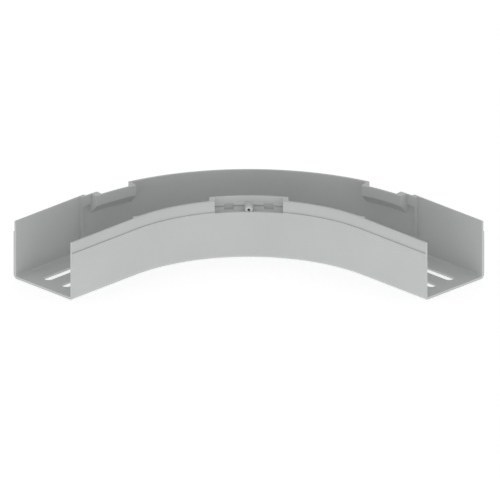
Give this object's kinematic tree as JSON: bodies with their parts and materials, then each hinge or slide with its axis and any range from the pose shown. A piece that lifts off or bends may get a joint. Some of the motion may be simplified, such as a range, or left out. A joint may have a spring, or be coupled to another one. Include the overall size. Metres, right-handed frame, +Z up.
{
  "type": "cable tray bend",
  "caption": "Flat right-angle bend for a plastic cable tray: an open U channel whose legs take the ends of straight trays, with floor slots and rim pockets for a clip-in cover.",
  "frame": {"origin": "middle of the bounding square, on the base", "axes": "+Z up through the open side; one leg opens to -Y and lies at +X, the other opens to -X and lies at +Y; the outside of the turn faces +X and +Y"},
  "size_m": [0.3236, 0.3236, 0.0606],
  "materials": {
    "body": "fine matte moulded surface, light grey"
  },
  "bodies": {
    "root": {"bend_body": "body"}
  },
  "joints": []
}
